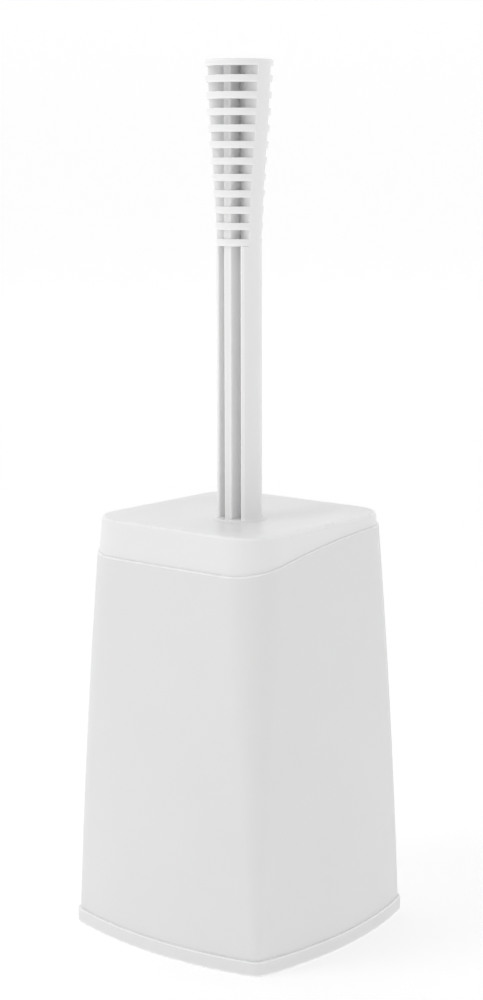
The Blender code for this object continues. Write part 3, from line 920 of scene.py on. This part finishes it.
# %% One filament, one tuft
BRUSH_RADIUS = 38.0 * MM
FILAMENT_RADIUS = 0.19 * MM
FILAMENTS = 30
TUFTS_IN_ROW = 12
TUFT_ROOT = 1.7 * MM
TUFT_SPREAD = 5.2 * MM
CRIMP = 0.22 * MM
CRIMP_TURNS = (9.0, 7.0)  # radians of wave along a filament, on its two sides
GOLDEN_TURN = 2.399963  # radians between one filament and the next, which spreads them evenly
QUARTERS = (0, 1.571, 3.142, 4.712)  # the four corners of a filament, in radians
LOOSE_TURN = 6.28  # a whole turn, near enough for a random one
TURN_JITTER = 0.25
LEAN_JITTER = (0.85, 1.1)
TIP_SCATTER = 1.2  # mm
LEAN_LOSS = 0.06  # how much shorter a filament reaches for each unit that it leans
TUFT_KINDS = 4
TUFT_TILT = 0.03
END_SPREAD = 3.4 * MM
END_RINGS = ((6, 4.5 * MM, 0.28), (10, 9.0 * MM, 0.55))  # tufts, distance out, lean in radians
draw = random.Random(7)


def filament(shape, root, tip, phase):
    """A square thread from root to tip with a slight crimp."""
    along = (tip - root).normalized()
    side = along.orthogonal().normalized()
    other = along.cross(side)
    steps = 5
    rings = []
    for i in range(steps + 1):
        share = i / steps
        wave = CRIMP * math.sin(share * CRIMP_TURNS[0] + phase) * share
        sway = CRIMP * math.cos(share * CRIMP_TURNS[1] + phase) * share
        centre = root.lerp(tip, share) + side * wave + other * sway
        thick = FILAMENT_RADIUS * (1.0 if i < steps else 0.75)
        rings.append([centre + (side * math.cos(a) + other * math.sin(a)) * thick for a in QUARTERS])
    grow_body(shape, rings)


def tuft_mesh(name, root_x, tip_x, spread_radius):
    """A fan of filaments along +X about the X axis."""
    shape = bmesh.new()
    for i in range(FILAMENTS):
        reach = math.sqrt((i + 0.5) / FILAMENTS)
        turn = i * GOLDEN_TURN + draw.uniform(-TURN_JITTER, TURN_JITTER)
        around_x = Vector((0.0, math.cos(turn), math.sin(turn)))
        root = Vector((root_x, 0, 0)) + around_x * (reach * TUFT_ROOT)
        lean = reach * spread_radius * draw.uniform(*LEAN_JITTER)
        end = tip_x - draw.uniform(0.0, TIP_SCATTER) * MM - LEAN_LOSS * lean
        tip = Vector((end, 0, 0)) + around_x * lean
        filament(shape, root, tip, draw.uniform(0, LOOSE_TURN))
    mesh = bpy.data.meshes.new(name)
    shape.to_mesh(mesh)
    shape.free()
    return mesh


def plant(shape, mesh, matrix):
    """Adds a turned copy of a tuft to a row."""
    before = len(shape.verts)
    shape.from_mesh(mesh)
    shape.verts.ensure_lookup_table()
    bmesh.ops.transform(shape, matrix=matrix, verts=shape.verts[before:])


# %% Tuft rows
def make_rows():
    root = CORE_RADIUS - 1 * MM
    kinds = [tuft_mesh(f"tuft_kind_{i}", root, BRUSH_RADIUS, TUFT_SPREAD) for i in range(TUFT_KINDS)]
    for row in range(TUFT_ROWS):
        shape = bmesh.new()
        height = CORE_LOW + (row + 0.5) * TUFT_PITCH
        for k in range(TUFTS_IN_ROW):
            turn = 2 * math.pi * (k + (row % 2) / 2) / TUFTS_IN_ROW
            twist = Matrix.Rotation(draw.uniform(0, LOOSE_TURN), 4, "X")
            tilt = Matrix.Rotation(draw.uniform(-TUFT_TILT, TUFT_TILT), 4, "Y")
            matrix = Matrix.Translation((0, 0, height)) @ Matrix.Rotation(turn, 4, "Z") @ tilt @ twist
            plant(shape, kinds[(row * 5 + k) % TUFT_KINDS], matrix)
        node = f"tuft_row_{row + 1:02d}"
        add_piece(f"bristle_row_{row + 1:02d}", shape, BRISTLE, "brush", "bristle", node, sharp=60)
    for mesh in kinds:
        bpy.data.meshes.remove(mesh)


def make_end():
    """Tufts that point down and outward from the end of the core."""
    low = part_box("tuft_end")[0].z
    length = CORE_LOW - low
    kind = tuft_mesh("end_kind", -1 * MM, length, END_SPREAD)
    shape = bmesh.new()
    down = Matrix.Rotation(math.pi / 2, 4, "Y")
    plant(shape, kind, Matrix.Translation((0, 0, CORE_LOW)) @ down)
    for count, radius, lean in END_RINGS:
        for k in range(count):
            turn = Matrix.Rotation(2 * math.pi * k / count, 4, "Z")
            tilt = Matrix.Rotation(math.pi / 2 - lean, 4, "Y")
            out = Matrix.Translation((radius, 0, 0))
            plant(shape, kind, Matrix.Translation((0, 0, CORE_LOW)) @ turn @ out @ tilt)
    bpy.data.meshes.remove(kind)
    return add_piece("bristle_end", shape, BRISTLE, "brush", "bristle", "tuft_end", sharp=60)


make_rows()
make_end()
